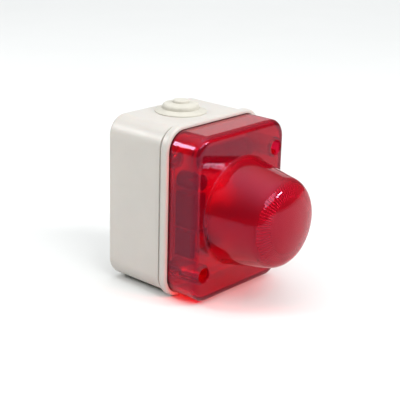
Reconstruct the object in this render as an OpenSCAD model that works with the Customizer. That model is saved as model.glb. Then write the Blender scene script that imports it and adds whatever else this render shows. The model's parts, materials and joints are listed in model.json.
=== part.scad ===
// Wall signal light: a surface box, a front frame and a red domed lens over a flash tube and its circuit.
// The origin is the middle of the back face. +Y goes into the wall, -Y faces the room, and +Z is up.

/* [Box] */
// Width of the rear box
box_w = 64.6; // [63:0.2:80]
// Height of the rear box
box_h = 82; // [78:0.5:100]
// Depth of the rear box, from the wall to its front rim
box_d = 36; // [32:0.5:60]
// Radius of the box's four long edges
box_corner_r = 9.8; // [8.5:0.1:12]
// Radius of the box's rear edges
box_rear_r = 2.1; // [1:0.1:3]
// Thickness of the box's side walls
box_wall = 2.2; // [1.8:0.1:2.6]
// Thickness of the box's floor
box_floor = 2.6; // [2:0.1:4]
// Inner radius where the floor meets the walls
box_floor_r = 1; // [0.5:0.1:1.6]
// Depth of the step round the box's rim, which shows as a shadow line behind the frame
rim_step_d = 0.6; // [0.4:0.1:0.7]
// Length of that step along the box's depth
rim_step_l = 1.6; // [1.2:0.1:2]
// Diameter of the four screw bosses
boss_d = 7.6; // [7:0.1:8.4]
// Thickness of the rib that ties each boss to the side wall
boss_rib_t = 1.6; // [1.2:0.1:2.4]

/* [Wall fixing] */
// Diameter of the wall holes
wall_hole_d = 4.5; // [4:0.1:5.5]
// Spacing of the wall holes, sideways
wall_pitch_x = 30; // [24:1:34]
// Spacing of the wall holes, up and down
wall_pitch_z = 62; // [56:1:66]
// Diameter of the raised pad round each wall hole
wall_pad_d = 9; // [8:0.5:10]
// Height of the raised pads above the floor
wall_pad_h = 2; // [1:0.5:4]

/* [Cable entry] */
// Diameter of the cable entry in the top wall
entry_d = 20; // [18:0.5:22]
// Distance of the cable entry from the wall
entry_y = 17.2; // [16:0.2:20]
// Diameter of the grommet's outer flange
grommet_flange_d = 25.2; // [24:0.2:28]
// Thickness of the flange at its rim
grommet_rim_t = 0.5; // [0.4:0.1:1]
// Height of the flange where it meets the middle step
grommet_flange_h = 1.9; // [1.4:0.1:2.4]
// Diameter of the middle step
grommet_step_d = 18; // [16:0.2:20]
// Height of the middle step
grommet_step_h = 2; // [1.6:0.1:3]
// Radius of the middle step's top edge
grommet_step_r = 1.4; // [0.8:0.1:1.5]
// How far the middle step's top rises towards the button
grommet_crown_h = 0.6; // [0.4:0.1:1]
// Diameter of the top button
grommet_cap_d = 8; // [6:0.2:10]
// Height of the top button
grommet_cap_h = 1.3; // [0.8:0.1:2]
// Thickness of the grommet's skin
grommet_skin = 1.2; // [1:0.1:1.4]
// Thickness of the flange inside the box
grommet_inner_t = 1.5; // [1:0.1:2.5]

/* [Front frame] */
// How far the frame stands proud of the box all round
frame_proud = 1.2; // [0.8:0.1:2]
// Depth of the frame's rim
frame_d = 3.4; // [3:0.1:5]
// Shadow gap between the box and the frame
frame_gap = 0.4; // [0.3:0.1:0.6]
// Radius of the frame's front outer edge
frame_edge_r = 1.2; // [0.4:0.1:1.3]
// Thickness of the frame's web
web_t = 2.2; // [1.8:0.1:3]
// How far the web's front lies behind the frame's front
web_drop = 2.8; // [2.4:0.1:3.2]
// Depth of the lip that locates the frame in the box
lip_d = 3; // [2.6:0.1:5]
// Thickness of that lip
lip_t = 1.6; // [1.2:0.1:2]
// Width of the rib inside the lens groove
groove_rib_t = 1.5; // [1.2:0.1:2]
// Depth of the lens groove
groove_d = 1.6; // [1.4:0.1:1.8]
// Sliding clearance between moulded pieces, each side
fit_gap = 0.25; // [0.2:0.05:0.4]

/* [Gaskets] */
// Thickness of the lens gasket
lens_gasket_t = 0.8; // [0.6:0.1:1]
// Width of the box gasket
box_gasket_w = 1; // [0.8:0.1:1.1]
// Depth of the box gasket's groove in the frame
box_gasket_groove = 0.8; // [0.6:0.1:1]
// Clearance beside the gaskets in their grooves
gasket_gap = 0.15; // [0.1:0.05:0.2]

/* [Lens] */
// How far the lens's outline lies inside the frame's outline
lens_inset = 2; // [1.8:0.1:2.6]
// Depth of the lens's skirt in front of the frame
lens_d = 17.4; // [16:0.2:24]
// Radius of the skirt's four corners
lens_corner_r = 9.4; // [8.6:0.1:11]
// Radius of the skirt's front edge
lens_edge_r = 3; // [2:0.1:4]
// Thickness of the skirt and of the front
lens_wall = 2.4; // [2:0.1:2.8]
// Inner radius of the skirt's front edge
lens_inner_r = 1; // [0.6:0.1:2]

/* [Dome] */
// Distance of the dome's root from the skirt's sides
dome_side = 5; // [4.6:0.1:8]
// Height of the dome in front of the skirt
dome_h = 32.1; // [29:0.1:40]
// Radius of the dome's crown
dome_crown_r = 48; // [44:1:60]
// Radius of the dome's shoulder
dome_shoulder_r = 7.7; // [7:0.1:9]
// How far the shoulder's centre lies inside the root
dome_shoulder_in = 12.3; // [11:0.1:14]
// Thickness of the dome
dome_wall = 2.2; // [1.8:0.1:2.4]
// Radius where the dome rises from the front
dome_root_r = 0.8; // [0.5:0.1:1.2]
// Number of prisms in the ring inside the shoulder
prism_count = 72; // [48:4:90]
// Depth of the grooves between the prisms
prism_depth = 0.45; // [0.3:0.05:0.5]
// Radius of the ring's inner edge
prism_in_r = 13; // [12:0.1:14]
// Where the ring's outer edge lies on the shoulder's arc, in degrees from the side
prism_from = 35; // [30:1:40]
// How far the ring stands in from the dome at its edges
prism_back = 0.3; // [0.2:0.1:0.5]

/* [Lens screws] */
// Distance of the screws from the skirt's side
screw_inset_x = 6.5; // [6:0.1:7]
// Distance of the screws from the skirt's top and bottom
screw_inset_z = 14; // [13:0.1:15]
// Diameter of the lens screws and frame screws
screw_d = 3.5; // [3:0.1:3.8]
// Diameter of their heads
screw_head_d = 6; // [5.6:0.1:6.2]
// Height of their heads
screw_head_h = 2.3; // [1.8:0.1:2.8]
// How far they go into the bosses
screw_bite = 10; // [8:0.5:14]
// Width of the slot in their heads
screw_slot_w = 0.9; // [0.7:0.1:1.2]
// Depth of the slot in their heads
screw_slot_d = 1; // [0.7:0.1:1.2]
// Diameter of the recess above each lens screw
recess_d = 7.4; // [7:0.1:8]
// Depth of the recess
recess_h = 12; // [10:0.5:12.5]
// Diameter of the pillar round each recess
pillar_d = 10; // [9.6:0.1:10.6]
// Diameter of the pillar's foot on the frame's web
pillar_foot_d = 7.2; // [6.4:0.1:7.4]
// Length of the pillar's foot
pillar_foot_h = 3.2; // [2.9:0.1:3.6]
// Thickness of the seal under each lens screw's head
seal_t = 1.2; // [0.8:0.1:1.6]
// Clearance round a screw, each side
screw_gap = 0.1; // [0.05:0.05:0.2]

/* [Circuit board] */
// Thickness of the board
board_t = 1.6; // [1.2:0.1:2]
// Radius of the board's corners
board_corner_r = 4; // [3:0.5:5]
// Clearance between the board's sides and the frame's rib
board_gap = 0.35; // [0.3:0.05:0.6]
// Distance of the board's top and bottom edges from the frame's rib
board_end_gap = 3; // [1:0.1:4]
// Height of the pads that the board lies on
board_rise = 1.6; // [1.4:0.1:2.2]
// Diameter of the pads
pad_d = 5.6; // [5:0.1:6]
// Diameter of the board screws
board_screw_d = 2.4; // [2:0.1:2.6]
// Diameter of the board screws' heads
board_head_d = 4.6; // [4:0.1:5]
// Height of the board screws' heads
board_head_h = 1.6; // [1.2:0.1:2]
// How far the board screws go below the board
board_screw_bite = 6; // [5:0.5:7]
// Distance of the lower board screws from the board's bottom edge
board_screw_low = 5.5; // [4.5:0.5:6]
// Width of the slot for the wires
wire_slot_w = 7; // [5:0.5:8]
// Height of the slot for the wires
wire_slot_h = 6; // [4:0.5:6.5]
// Radius of the slot's corners
wire_slot_r = 1.5; // [1:0.1:1.9]
// How much wider the frame's window is than the slot, each side
wire_window = 1; // [0.5:0.1:1.4]
// Diameter of the components' leads
lead_d = 0.8; // [0.6:0.1:1]
// Clearance of a lead in its hole, each side
lead_gap = 0.15; // [0.1:0.05:0.25]
// How far the leads come out behind the board
lead_tail = 1; // [0.6:0.1:1.2]

/* [Flash tube] */
// Diameter of the tube's socket
socket_d = 19; // [17:0.5:21]
// Height of the socket
socket_h = 6; // [4:0.5:8]
// Width of the step round the socket
socket_step = 1; // [0.5:0.1:1.5]
// Diameter of the glass
tube_d = 5.6; // [5:0.1:6]
// Spacing of the tube's two legs
tube_pitch = 10; // [9:0.5:11]
// Height of the legs above the socket, up to the bend
tube_leg_h = 20; // [14:0.5:24]
// Height of the metal end caps
cap_h = 4; // [3:0.5:6]
// Wall of the end caps
cap_wall = 0.3; // [0.2:0.05:0.4]
// Thickness of the end caps' floor
cap_floor = 1.4; // [1:0.1:2]
// Diameter of the end caps' pins
cap_pin_d = 1.8; // [1.4:0.1:2.2]
// Diameter of the trigger wire
trigger_d = 0.6; // [0.5:0.1:0.8]
// Height of the trigger clip above the socket
trigger_z = 12; // [8:0.5:13]
// Width of the trigger clip
trigger_clip_w = 1.4; // [1:0.1:2]

/* [Board components] */
// Distance of the side components from the board's edge
edge_margin = 0.8; // [0.6:0.1:1.2]
// Diameter of the storage capacitor
storage_d = 10; // [8:0.5:11]
// Distance of the storage capacitor's axis from the board's top edge
storage_drop = 6.5; // [6:0.1:7]
// Spacing of the storage capacitor's leads
storage_pitch = 5; // [4:0.5:6]
// Width of the film capacitor
film_w = 7; // [6:0.1:7.5]
// Rise of the film capacitor
film_rise = 10.5; // [8:0.5:12]
// Diameter of the choke
choke_d = 8; // [7:0.5:8]
// Rise of the choke
choke_h = 11; // [8:0.5:12]
// Width of the trigger transformer
trafo_w = 12; // [11:0.1:12]
// Height of the trigger transformer across the board
trafo_len = 13; // [11:0.1:13]
// Rise of the trigger transformer
trafo_rise = 9.5; // [8:0.1:11]
// Thickness of the transformer's core at each end
trafo_core_t = 2.6; // [2:0.1:3.2]
// Width of the thyristor
thyristor_w = 8; // [6:0.1:8.5]
// Thickness of the thyristor
thyristor_t = 3.2; // [2.5:0.1:3.4]
// Rise of the thyristor
thyristor_rise = 11; // [8:0.1:12]
// Length of the charging resistor
resistor_len = 21; // [16:0.5:21]
// Thickness of the charging resistor
resistor_t = 6; // [5:0.1:6.2]
// Clearance between neighbouring components
part_gap = 1.2; // [1:0.1:1.4]
// Diameter of the rectifier diodes
diode_d = 2.7; // [2:0.1:3]
// Length of the rectifier diodes
diode_len = 5.2; // [4:0.1:6]
// Spacing of the rectifier diodes
diode_pitch = 3.3; // [3.2:0.1:3.5]
// Number of rectifier diodes
diode_count = 4; // [2:1:4]

/* [Terminal block] */
// Width of one way of the terminal block
way_w = 7; // [6:0.1:7]
// Number of ways
way_count = 2; // [1:1:2]
// Height of the terminal block across the board
terminal_h = 11; // [10:0.5:12]
// Rise of the terminal block
terminal_rise = 12; // [10:0.5:12.5]
// How far the terminal block's middle lies below the board's middle
terminal_drop = 5; // [4.5:0.1:5.5]
// Thickness of the terminal block's floor
terminal_floor = 1; // [0.8:0.1:1.4]
// Depth of the terminal screws' heads below the block's front
terminal_sink = 3; // [2:0.1:4]
// Thickness of the clamp plates
clamp_t = 1; // [0.8:0.1:1.2]
// Diameter of the wire openings
wire_d = 4; // [3:0.1:4.4]
// Diameter of the terminal screws
terminal_screw_d = 3.4; // [3:0.1:4]

/* [Hidden] */
$fn = 96;
// A cut reaches this far past the face that it opens
over = 1;

// Depths from the wall
frame_back = box_d + frame_gap;
frame_front = frame_back + frame_d;
web_front = frame_front - web_drop;
web_back = web_front - web_t;
groove_floor = frame_front - groove_d;
lens_back = groove_floor + lens_gasket_t;
lens_front = frame_front + lens_d;
recess_floor = lens_front - recess_h;
board_back = web_front + board_rise;
board_front = board_back + board_t;
socket_top = board_front + socket_h;
tube_bend = socket_top + tube_leg_h;

// Outlines, as width, height and corner radius
box_out = [box_w, box_h, box_corner_r];
frame_out = grown(box_out, frame_proud);
lens_out = [frame_out[0] - 2 * lens_inset, frame_out[1] - 2 * lens_inset, lens_corner_r];
groove_out = grown(lens_out, fit_gap);
groove_in = grown(lens_out, -lens_wall - fit_gap);
web_out = grown(groove_in, -groove_rib_t);
lip_out = grown(box_out, -box_wall - fit_gap);
lip_in = grown(lip_out, -lip_t);
box_gasket_out = grown(box_out, -rim_step_d - (box_wall - rim_step_d - box_gasket_w) / 2);

// Places of the four bosses, and of the two pairs of screws on the diagonals
boss_x = lens_out[0] / 2 - screw_inset_x;
boss_z = lens_out[1] / 2 - screw_inset_z;
lens_screw_at = [[boss_x, boss_z], [-boss_x, -boss_z]];
frame_screw_at = [[-boss_x, boss_z], [boss_x, -boss_z]];
boss_at = concat(lens_screw_at, frame_screw_at);
wall_hole_at = [for (x = [-1, 1], z = [-1, 1]) [x * wall_pitch_x / 2, z * wall_pitch_z / 2]];

// Dome: the crown's centre, the shoulder's centre, and the slope of the cone that touches the shoulder
dome_root = lens_out[0] / 2 - dome_side;
shoulder_x = dome_root - dome_shoulder_in;
crown_z = lens_front + dome_h - dome_crown_r;
shoulder_z = crown_z + sqrt(pow(dome_crown_r - dome_shoulder_r, 2) - pow(shoulder_x, 2));
cone_reach = norm([dome_root - shoulder_x, shoulder_z - lens_front]);
cone_slope = atan2(dome_root - shoulder_x, shoulder_z - lens_front) - asin(dome_shoulder_r / cone_reach);
crown_slope = atan2(shoulder_z - crown_z, shoulder_x);

// Board: its outline, and the bites that clear the lens's pillars and the frame screws' heads
board_out = [web_out[0] - 2 * board_gap, web_out[1] - 2 * board_end_gap, board_corner_r];
board_left = -board_out[0] / 2 + edge_margin;
board_right = board_out[0] / 2 - edge_margin;
board_top = board_out[1] / 2;
pillar_bite_d = pillar_d + 4 * fit_gap;
screw_bite_d = screw_head_d + 6 * fit_gap;
lead_bend = 1.5 * lead_d;

// Top of the board: the storage capacitor between the pillars, and a board screw under it
storage_y = board_top - storage_drop;
storage_lead_x = boss_x - pillar_bite_d / 2 - part_gap;
storage_len = 2 * (storage_lead_x - 2 * lead_bend);
board_screw_top = storage_y - storage_d / 2 - part_gap - board_head_d / 2;

// Bottom of the board: two screws beside the pillars, and the resistor and the thyristor above them
board_screw_x = boss_x - pillar_bite_d / 2 - part_gap - board_head_d / 2;
board_screw_y = board_screw_low - board_top;
board_screw_at = [[0, board_screw_top], [-board_screw_x, board_screw_y], [board_screw_x, board_screw_y]];
resistor_y = board_screw_y + board_head_d / 2 + part_gap + resistor_t / 2;
resistor_x = board_left + trafo_w + part_gap + 2 * lead_bend + resistor_len / 2;
thyristor_x = board_left + trafo_w + part_gap + thyristor_w / 2;
thyristor_y = resistor_y + resistor_t / 2 + part_gap + thyristor_t / 2;

// Left of the board: choke, film capacitor and transformer, which fill the height between the two bites
choke_x = board_left + choke_d / 2;
choke_y = boss_z - screw_bite_d / 2 - part_gap - choke_d / 2;
trafo_x = board_left + trafo_w / 2;
trafo_y = pillar_bite_d / 2 + part_gap + trafo_len / 2 - boss_z;
film_x = board_left + film_w / 2;
film_top = choke_y - choke_d / 2 - part_gap;
film_low = trafo_y + trafo_len / 2 + part_gap;
film_len = film_top - film_low;
film_y = (film_top + film_low) / 2;

// Right of the board: the terminal block with the wire slot below it and the diodes above it
terminal_w = way_w * way_count;
terminal_x = board_right - terminal_w / 2;
terminal_y = -terminal_drop;
way_at = [for (i = [0:way_count - 1]) terminal_x + (i - (way_count - 1) / 2) * way_w];
wire_slot_x = board_right - terminal_w / 2 - wire_window;
wire_slot_at = [wire_slot_x, terminal_y - terminal_h / 2 - part_gap - wire_slot_h / 2];
diode_lead_x = [board_right - lead_bend - 2 * diode_len, board_right - lead_bend];
diode_low = terminal_y + terminal_h / 2 + part_gap + diode_d;
diode_at = [for (i = [0:diode_count - 1]) diode_low + i * diode_pitch];
clamp_top = board_front + terminal_floor + clamp_t;

// Leads that go through the board
storage_leads = [for (s = [-1, 1]) [storage_lead_x, storage_y + s * storage_pitch / 2]];
film_leads = [for (s = [-1, 1]) [film_x, film_y + s * film_len / 3]];
choke_leads = [for (s = [-1, 1]) [choke_x + s * choke_d / 4, choke_y]];
trafo_leads = [for (s = [-1, 1], t = [-1, 1])
    [trafo_x + s * (trafo_w - trafo_core_t) / 2, trafo_y + t * trafo_len / 3]];
thyristor_leads = [for (s = [-1:1]) [thyristor_x + s * thyristor_w * 0.3, thyristor_y]];
resistor_leads = [for (s = [-1, 1]) [resistor_x + s * (resistor_len / 2 + 2 * lead_bend), resistor_y]];
diode_leads = [for (x = diode_lead_x, y = diode_at) [x, y]];
terminal_leads = [for (x = way_at) [x, terminal_y]];
all_leads = concat(storage_leads, film_leads, choke_leads, trafo_leads, thyristor_leads, resistor_leads,
                   diode_leads, terminal_leads);
leg_at = [[-tube_pitch / 2, 0], [tube_pitch / 2, 0]];

// An outline with its edges moved out by t
function grown(o, t) = [o[0] + 2 * t, o[1] + 2 * t, o[2] + t];

// Inside facing(), x is to the right, y is up and z comes out of the wall
module facing() rotate([90, 0, 0]) children();

module at(places) for (p = places) translate([p[0], p[1], 0]) children();

// Round bar along z from z0 to z1
module bar(d, z0, z1) translate([0, 0, z0]) cylinder(d = d, h = z1 - z0);

module ring(d_out, d_in, z0, z1) difference() {
    bar(d_out, z0, z1);
    bar(d_in, z0 - over, z1 + over);
}

// Flat outline with rounded corners
module outline(o) {
    square([o[0] - 2 * o[2], o[1]], center = true);
    square([o[0], o[1] - 2 * o[2]], center = true);
    for (x = [-1, 1], y = [-1, 1]) translate([x * (o[0] / 2 - o[2]), y * (o[1] / 2 - o[2])]) circle(o[2]);
}

module plate(o, z0, z1) translate([0, 0, z0]) linear_extrude(z1 - z0) outline(o);

// Closed band between two outlines
module band(o_out, o_in, z0, z1) difference() {
    plate(o_out, z0, z1);
    plate(o_in, z0 - over, z1 + over);
}

// Half section of a block, from its middle out to u, with its far outer edge rounded by e
module edge_section(u, z0, z1, e) {
    translate([0, z0]) square([u, z1 - z0 - e]);
    translate([0, z0]) square([u - e, z1 - z0]);
    translate([u - e, z1 - e]) circle(e);
}

module full_section(u, z0, z1, e) {
    edge_section(u, z0, z1, e);
    mirror([1, 0]) edge_section(u, z0, z1, e);
}

// Block with rounded corners and a rounded front edge
module block(o, z0, z1, e) {
    for (x = [-1, 1], y = [-1, 1])
        translate([x * (o[0] / 2 - o[2]), y * (o[1] / 2 - o[2]), 0])
            rotate_extrude() edge_section(o[2], z0, z1, e);
    translate([0, o[1] / 2 - o[2], 0]) rotate([90, 0, 0]) linear_extrude(o[1] - 2 * o[2])
        full_section(o[0] / 2, z0, z1, e);
    translate([o[2] - o[0] / 2, 0, 0]) rotate([90, 0, 90]) linear_extrude(o[0] - 2 * o[2])
        full_section(o[1] / 2, z0, z1, e);
}

// The same block with its rear edge rounded
module rear_block(o, z0, z1, e) translate([0, 0, z0 + z1]) mirror([0, 0, 1]) block(o, z0, z1, e);

// Screw with a pan head on its seat and a screwdriver slot
module slotted_screw(d, head_d, head_h, tip, seat) difference() {
    union() {
        bar(d, tip, seat + head_h / 2);
        rotate_extrude() edge_section(head_d / 2, seat, seat + head_h, head_h / 3);
    }
    translate([-head_d, -screw_slot_w / 2, seat + head_h - screw_slot_d])
        cube([2 * head_d, screw_slot_w, screw_slot_d + over]);
}

// Straight lead through the board, up to z1
module lead(z1) bar(lead_d, board_back - lead_tail, z1);

// Lead that leaves a part along +x or -x at height z and turns down into the board at x1
module bent_lead(x0, x1, z) {
    s = sign(x1 - x0);
    translate([x0, 0, z]) rotate([0, 90 * s, 0]) cylinder(d = lead_d, h = abs(x1 - x0) - lead_bend);
    translate([x1 - s * lead_bend, 0, z - lead_bend]) rotate([90, 0, s > 0 ? 0 : 180])
        rotate_extrude(angle = 90) translate([lead_bend, 0]) circle(d = lead_d);
    translate([x1, 0, 0]) lead(z - lead_bend);
}

module rear_box() color("#d8d8d2") facing() difference() {
    union() {
        difference() {
            rear_block(box_out, 0, box_d, box_rear_r);
            rear_block(grown(box_out, -box_wall), box_floor, box_d + over, box_floor_r);
        }
        at(boss_at) bar(boss_d, box_floor / 2, web_back);
        for (p = boss_at) {
            wall_x = box_w / 2 - box_wall / 2;
            rib_len = wall_x - abs(p[0]);
            translate([p[0] > 0 ? p[0] : -wall_x, p[1] - boss_rib_t / 2, box_floor / 2])
                cube([rib_len, boss_rib_t, frame_back - lip_d - over - box_floor / 2]);
        }
        at(wall_hole_at) bar(wall_pad_d, box_floor / 2, box_floor + wall_pad_h);
    }
    band(grown(box_out, over), grown(box_out, -rim_step_d), box_d - rim_step_l, box_d + over);
    at(boss_at) bar(screw_d, web_back - screw_bite - over, web_back + over);
    at(wall_hole_at) bar(wall_hole_d, -over, box_floor + wall_pad_h + over);
    translate([0, box_h / 2 + over, entry_y]) rotate([90, 0, 0])
        cylinder(d = entry_d, h = box_wall + 2 * over);
}

// Section of the grommet's skin: flange, neck in the box's top wall, middle step and button, hollow below
module grommet_section() {
    top = box_h / 2;
    under = top - box_wall;
    neck = entry_d / 2 - screw_gap;
    step = grommet_step_d / 2;
    step_base = top + grommet_flange_h;
    step_top = step_base + grommet_step_h;
    crown_top = step_top + grommet_crown_h;
    bore = step - grommet_skin;
    difference() {
        union() {
            polygon([[0, under], [neck, under], [neck, top], [grommet_flange_d / 2, top],
                     [grommet_flange_d / 2, top + grommet_rim_t], [step, step_base], [0, step_base]]);
            translate([0, under - grommet_inner_t]) square([neck + grommet_rim_t, grommet_inner_t]);
            edge_section(step, top, step_top, grommet_step_r);
            polygon([[0, step_base], [step - grommet_step_r, step_base], [step - grommet_step_r, step_top],
                     [grommet_cap_d / 2, crown_top], [0, crown_top]]);
            edge_section(grommet_cap_d / 2, top, crown_top + grommet_cap_h, grommet_cap_h / 2);
        }
        translate([-over, under - grommet_inner_t - over])
            square([bore + over, step_top - grommet_skin - under + grommet_inner_t + over]);
        translate([-entry_d, under - grommet_inner_t - over]) square([entry_d, box_h]);
    }
}

module cable_grommet() color("#dedbcb") translate([0, -entry_y, 0]) rotate_extrude() grommet_section();

module box_gasket() color("#3a3a3a") facing()
    band(box_gasket_out, grown(box_gasket_out, -box_gasket_w), box_d, frame_back + box_gasket_groove);

module front_frame() color("#dcdcd6") facing() difference() {
    union() {
        difference() {
            block(frame_out, frame_back, frame_front, frame_edge_r);
            plate(web_out, frame_back - over, frame_front + over);
        }
        band(lip_out, lip_in, frame_back - lip_d, frame_back + over);
        plate(grown(lip_in, lip_t / 3), web_back, web_front);
        at(board_screw_at) bar(pad_d, board_back - board_screw_bite - over, board_back);
    }
    band(groove_out, groove_in, groove_floor, frame_front + over);
    band(grown(box_gasket_out, gasket_gap), grown(box_gasket_out, -box_gasket_w - gasket_gap),
         frame_back - over, frame_back + box_gasket_groove);
    at(boss_at) {
        bar(boss_d + 2 * fit_gap, frame_back - lip_d - over, web_back);
        bar(screw_d + 4 * screw_gap, web_back - over, web_front + over);
    }
    for (p = boss_at) {
        notch = pillar_foot_d / 2 + fit_gap;
        translate([p[0] > 0 ? p[0] : -groove_in[0] / 2, p[1] - notch, web_front])
            cube([groove_in[0] / 2 - abs(p[0]), 2 * notch, web_drop + over]);
    }
    at(board_screw_at) bar(board_screw_d, board_back - board_screw_bite - over / 2, board_back + over);
    at([wire_slot_at]) plate(grown([wire_slot_w, wire_slot_h, wire_slot_r], wire_window), web_back - over,
                             web_front + over);
}

module frame_screws() color("#b9bcc0") facing() at(frame_screw_at)
    slotted_screw(screw_d, screw_head_d, screw_head_h, web_back - screw_bite, web_front);

module lens_gasket() color("#3a3a3a") facing()
    band(grown(groove_out, -gasket_gap), grown(groove_in, gasket_gap), groove_floor, lens_back);

// Half section of the dome, its surface moved in by t, from z0 to the crown
module dome_section(t, z0) {
    r = dome_shoulder_r - t;
    low = [shoulder_x + r * cos(cone_slope), shoulder_z + r * sin(cone_slope)];
    high = [shoulder_x + r * cos(crown_slope), shoulder_z + r * sin(crown_slope)];
    foot = low[0] + (low[1] - z0) * tan(cone_slope);
    polygon([[0, z0], [foot, z0], low, [shoulder_x, shoulder_z], high, [0, high[1]]]);
    translate([shoulder_x, shoulder_z]) circle(r);
    intersection() {
        translate([0, crown_z]) circle(dome_crown_r - t);
        translate([0, high[1]]) square([high[0], dome_crown_r]);
    }
}

// Hollow round between the front and the cone
module dome_root_section() {
    z = lens_front + dome_root_r;
    x = dome_root + dome_root_r * (1 - sin(cone_slope)) / cos(cone_slope);
    difference() {
        polygon([[dome_root - dome_wall, lens_front - lens_wall / 2], [x, lens_front - lens_wall / 2],
                 [x, lens_front], [x - dome_root_r * cos(cone_slope), z - dome_root_r * sin(cone_slope)]]);
        translate([x, z]) circle(dome_root_r);
    }
}

// Points t below the dome's surface, in its half section: angle a of the shoulder, radius x of the crown
function on_shoulder(a, t) = [shoulder_x, shoulder_z] + (dome_shoulder_r - t) * [cos(a), sin(a)];
function on_crown(x, t) = [x, crown_z + sqrt(pow(dome_crown_r - t, 2) - pow(x, 2))];

// Conical ring inside the shoulder, cut into prisms by V grooves along its slope
module prism_ring() {
    low = on_shoulder(prism_from, dome_wall);
    high = on_crown(prism_in_r, dome_wall);
    slope = atan2(low[0] - high[0], high[1] - low[1]);
    inward = prism_back * [cos(slope), sin(slope)];
    groove = prism_depth + over;
    difference() {
        rotate_extrude()
            polygon([low - inward,
                     on_shoulder(prism_from, dome_wall / 2),
                     on_shoulder(crown_slope, dome_wall / 2),
                     on_crown(prism_in_r, dome_wall / 2),
                     high - inward]);
        for (i = [0:prism_count - 1])
            rotate([0, 0, 360 * i / prism_count])
                translate([low[0] - inward[0], 0, low[1] - inward[1]])
                    rotate([0, -slope, 0])
                        translate([0, 0, -1])
                            linear_extrude(norm(high - low) + 2)
                                polygon([[prism_depth, 0], [-over, groove], [-over, -groove]]);
    }
}

module lens_cover() color("#c01826") facing() difference() {
    union() {
        difference() {
            union() {
                block(lens_out, lens_back, lens_front, lens_edge_r);
                rotate_extrude() dome_section(0, lens_front - lens_wall / 2);
                rotate_extrude() dome_root_section();
            }
            block(grown(lens_out, -lens_wall), lens_back - over, lens_front - lens_wall, lens_inner_r);
            rotate_extrude() dome_section(dome_wall, lens_front - lens_wall - over);
        }
        prism_ring();
        at(lens_screw_at) {
            bar(pillar_d, web_front + pillar_foot_h, lens_front - lens_wall / 2);
            bar(pillar_foot_d, web_front, recess_floor);
        }
    }
    at(lens_screw_at) {
        bar(recess_d, recess_floor, lens_front + over);
        bar(screw_d + 4 * screw_gap, web_front - over, recess_floor + over);
    }
}

module lens_screws() color("#b9bcc0") facing() at(lens_screw_at)
    slotted_screw(screw_d, screw_head_d, screw_head_h, web_back - screw_bite, recess_floor + seal_t);

module lens_screw_seals() color("#2b2b2b") facing() at(lens_screw_at)
    ring(screw_head_d + screw_gap, screw_d + 2 * screw_gap, recess_floor, recess_floor + seal_t);

module circuit_board() color("#2f5a3a") facing() difference() {
    plate(board_out, board_back, board_front);
    at(lens_screw_at) bar(pillar_bite_d, board_back - over, board_front + over);
    at(frame_screw_at) bar(screw_bite_d, board_back - over, board_front + over);
    at(board_screw_at) bar(board_screw_d + 4 * screw_gap, board_back - over, board_front + over);
    at(all_leads) bar(lead_d + 2 * lead_gap, board_back - over, board_front + over);
    at(leg_at) bar(cap_pin_d + 2 * lead_gap, board_back - over, board_front + over);
    at([wire_slot_at]) plate([wire_slot_w, wire_slot_h, wire_slot_r], board_back - over, board_front + over);
}

module board_screws() color("#b9bcc0") facing() at(board_screw_at)
    slotted_screw(board_screw_d, board_head_d, board_head_h, board_back - board_screw_bite, board_front);

module tube_socket() color("#e8e6df") facing() difference() {
    union() {
        bar(socket_d, board_front, board_front + socket_h / 2);
        rotate_extrude() edge_section(socket_d / 2 - socket_step, board_front, socket_top, socket_step / 2);
    }
    at(leg_at) bar(cap_pin_d + 2 * lead_gap, board_front - over, socket_top + over);
}

module flash_tube() color("#dfe9ee") facing() {
    at(leg_at) bar(tube_d, socket_top + cap_floor, tube_bend);
    translate([0, 0, tube_bend]) rotate([90, 0, 0]) rotate_extrude(angle = 180) translate([tube_pitch / 2, 0])
        circle(d = tube_d);
}

module tube_caps() color("#c3c6c8") facing() at(leg_at) {
    bore_d = tube_d + 2 * lead_gap;
    bar(cap_pin_d, board_back - lead_tail, socket_top + cap_floor / 2);
    difference() {
        bar(bore_d + 2 * cap_wall, socket_top, socket_top + cap_h);
        bar(bore_d, socket_top + cap_floor, socket_top + cap_h + over);
    }
}

// Clip round the left leg, and the wire that comes down beside it to the socket
module trigger_wire() color("#a8a49a") facing() at([leg_at[0]]) {
    clip_in = tube_d + 2 * lead_gap;
    wire_y = clip_in / 2 + cap_wall + lead_gap + trigger_d / 2;
    clip_top = socket_top + trigger_z + trigger_clip_w / 2;
    ring(2 * wire_y, clip_in, clip_top - trigger_clip_w, clip_top);
    translate([0, -wire_y, 0]) bar(trigger_d, socket_top, clip_top);
}

module storage_capacitor() color("#3b302c") facing() translate([0, storage_y, 0]) {
    axis_z = board_front + storage_d / 2;
    groove = storage_d / 14;
    translate([-storage_len / 2, 0, axis_z]) rotate([0, 90, 0]) difference() {
        rotate_extrude() edge_section(storage_d / 2, 0, storage_len, groove);
        translate([0, 0, storage_len - storage_d / 2])
            rotate_extrude() translate([storage_d / 2, 0]) circle(groove);
    }
    for (s = [-1, 1]) translate([0, s * storage_pitch / 2, 0])
        bent_lead(storage_len / 2 - lead_d, storage_lead_x, axis_z);
}

// Moulded body that stands on the board, with rounded upright edges
module standing_block(w, h, rise, r) plate([w, h, r], board_front, board_front + rise);

module film_capacitor() color("#5b3d33") facing() {
    at([[film_x, film_y]]) standing_block(film_w, film_len, film_rise, 1);
    at(film_leads) lead(board_front + lead_d);
}

module choke() color("#2d2a2a") facing() {
    at([[choke_x, choke_y]])
        rotate_extrude() edge_section(choke_d / 2, board_front, board_front + choke_h, 1);
    at(choke_leads) lead(board_front + lead_d);
}

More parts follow.
